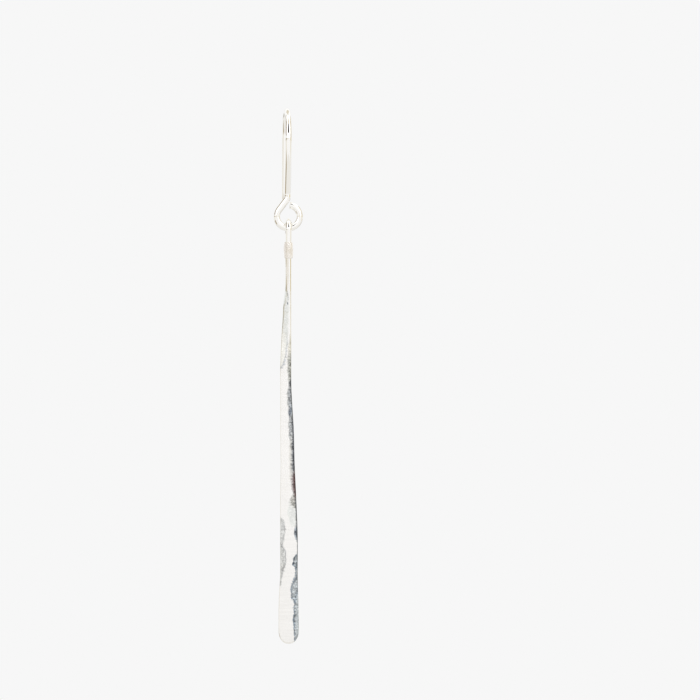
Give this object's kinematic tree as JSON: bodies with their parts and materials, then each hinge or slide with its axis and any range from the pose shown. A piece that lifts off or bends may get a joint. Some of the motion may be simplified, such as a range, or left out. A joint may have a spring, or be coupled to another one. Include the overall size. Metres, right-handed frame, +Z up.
{
  "type": "bar earring",
  "caption": "Hammered silver drop earring: a slim bar that widens to a rounded paddle end and hangs by a soldered eye in the loop of a wire ear hook.",
  "frame": {"origin": "inside top of the ear hook's bend, where it hangs in the ear", "axes": "+Z up, so the bar hangs towards -Z; -Y is the front, where the bar's hammered face looks; +X is the viewer's right"},
  "size_m": [0.0034, 0.0085, 0.063],
  "materials": {
    "hook_silver": "drawn silver wire, polished",
    "bar_silver": "hammered silver with a satin sheen, frosted where it is soldered"
  },
  "bodies": {
    "hook": {"ear_hook": "hook_silver"},
    "drop": {"bar": "bar_silver"}
  },
  "joints": [
    {"name": "bar_swing", "type": "hinge", "parent": "hook", "child": "drop", "pos_m": [0.0001, -0.0011, -0.0134], "axis": [1, 0, 0], "range_deg": [-115, 115]}
  ]
}
